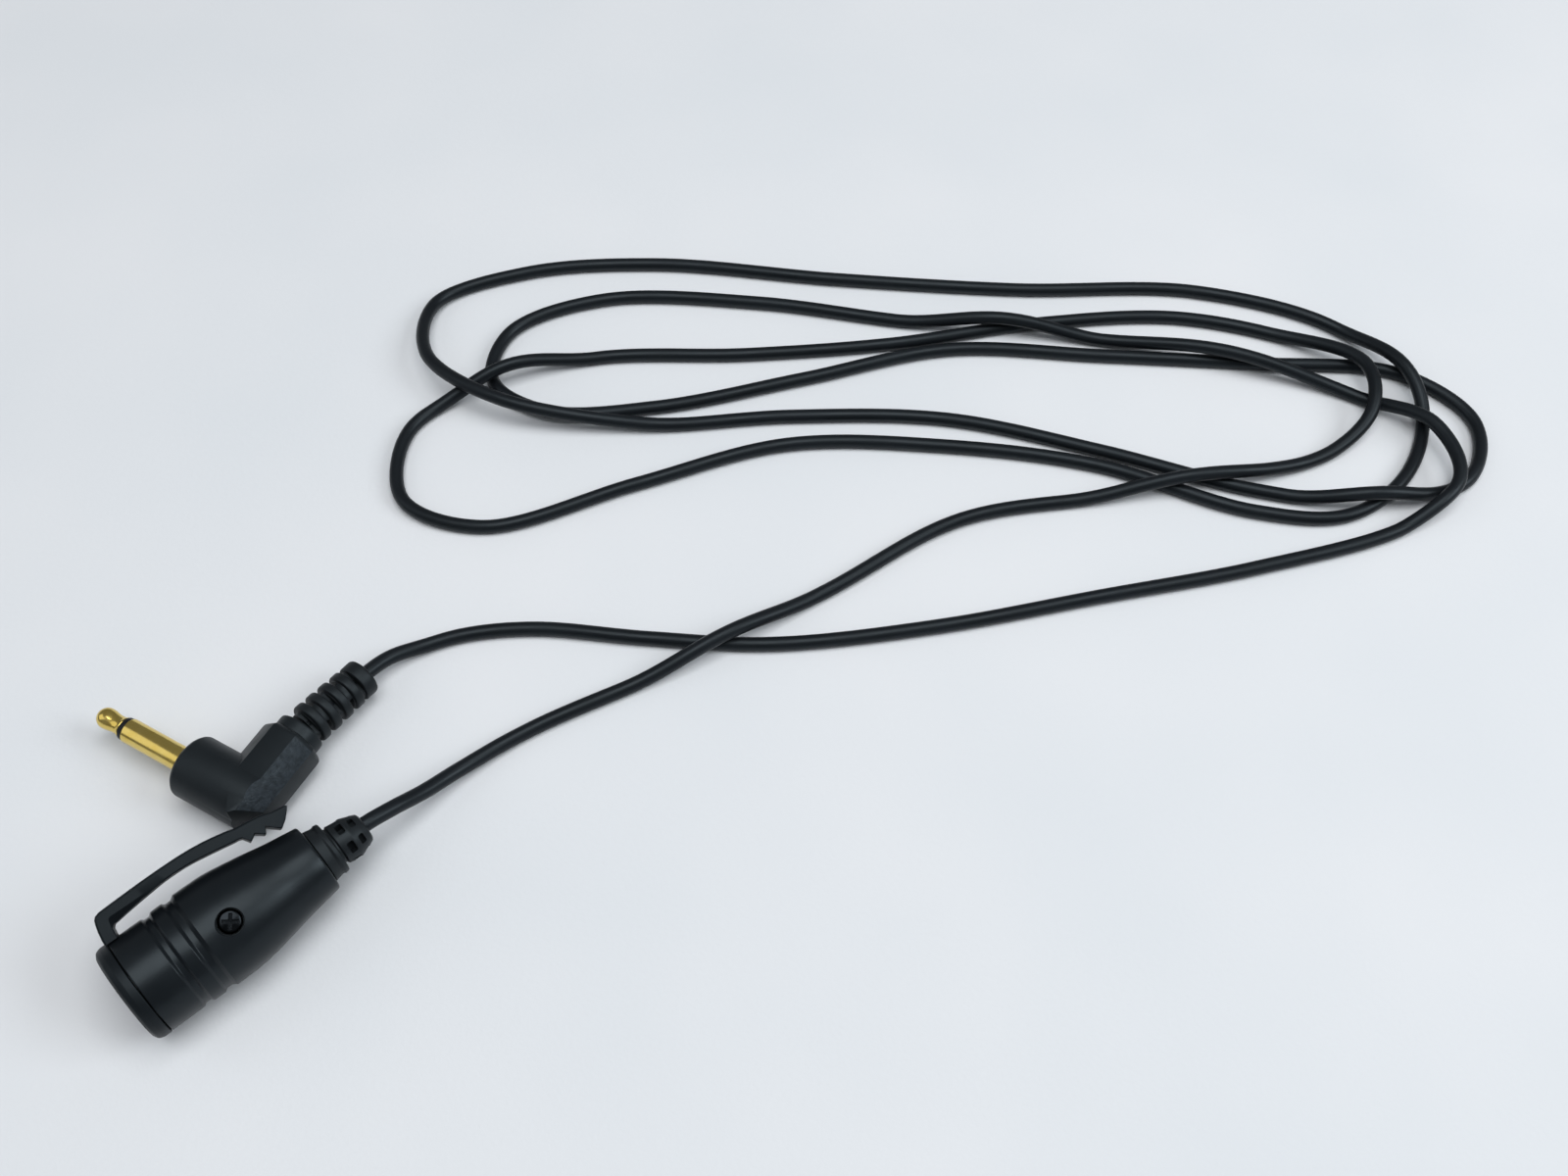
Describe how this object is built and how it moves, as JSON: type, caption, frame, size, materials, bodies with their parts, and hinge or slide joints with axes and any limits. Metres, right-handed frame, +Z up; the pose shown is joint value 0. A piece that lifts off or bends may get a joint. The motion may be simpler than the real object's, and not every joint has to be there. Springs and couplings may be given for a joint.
{
  "type": "clip-on microphone",
  "caption": "Small tapered lapel microphone with a spring clip on a turning front ring, a long thin cord laid in loose turns and a right-angle 3.5 mm plug.",
  "frame": {"origin": "under the middle of the microphone as it lies on its side, cord and plug left out, at the table", "axes": "+X along the barrel from its front to its cord end, +Y to the side that the clip is on, +Z up"},
  "size_m": [0.2036, 0.136, 0.0139],
  "materials": {
    "shell_plastic": "satin black moulded plastic",
    "clip_plastic": "satin black moulded plastic",
    "plug_plastic": "black moulded vinyl, finely textured on one bevel",
    "soft_black": "black soft moulding",
    "cord_jacket": "smooth black vinyl jacket",
    "black_steel": "black plated steel",
    "grille_metal": "black painted perforated sheet",
    "foam": "open foam",
    "aluminium": "plain",
    "gold_film": "gold-coated film",
    "gold_plating": "polished gold plating",
    "insulator": "black insulating plastic",
    "circuit_board": "green solder mask",
    "red_wire": "red wire insulation",
    "bare_wire": "bare twisted copper"
  },
  "bodies": {
    "microphone": {"upper_shell": "shell_plastic", "lower_shell": "shell_plastic", "shell_screw": "black_steel", "front_grille": "grille_metal", "wind_foam_disc": "foam", "capsule_boot": "soft_black", "capsule_can": "aluminium", "capsule_diaphragm": "gold_film", "capsule_backplate": "aluminium", "capsule_chamber_ring": "insulator", "capsule_transistor": "insulator", "capsule_circuit_board": "circuit_board", "signal_wire": "red_wire", "ground_wire": "bare_wire", "mic_strain_relief": "soft_black", "cord_end_in_mic": "cord_jacket", "cord": "cord_jacket", "cord_end_in_plug": "cord_jacket", "plug_tip": "gold_plating", "plug_insulator": "insulator", "plug_sleeve": "gold_plating", "plug_tip_lug": "gold_plating", "plug_sleeve_lug": "gold_plating", "plug_body": "plug_plastic", "plug_strain_relief": "soft_black", "plug_signal_wire": "red_wire", "plug_ground_wire": "bare_wire"},
    "clip_ring": {"clip_ring": "clip_plastic"},
    "clip_arm": {"clip_arm": "clip_plastic"}
  },
  "joints": [
    {"name": "clip_swivel", "type": "hinge", "parent": "microphone", "child": "clip_ring", "pos_m": [-0.01605, -0.00171, 0.00681], "axis": [1, 0, 0], "range_deg": [-6, 151]},
    {"name": "clip_flex", "type": "hinge", "parent": "clip_ring", "child": "clip_arm", "pos_m": [-0.0139, 0.00647, 0.01123], "axis": [0, -0.4756, 0.8796], "range_deg": [0, 10], "stiffness_Nm_per_rad": 0.02, "springref_deg": -2.86}
  ]
}
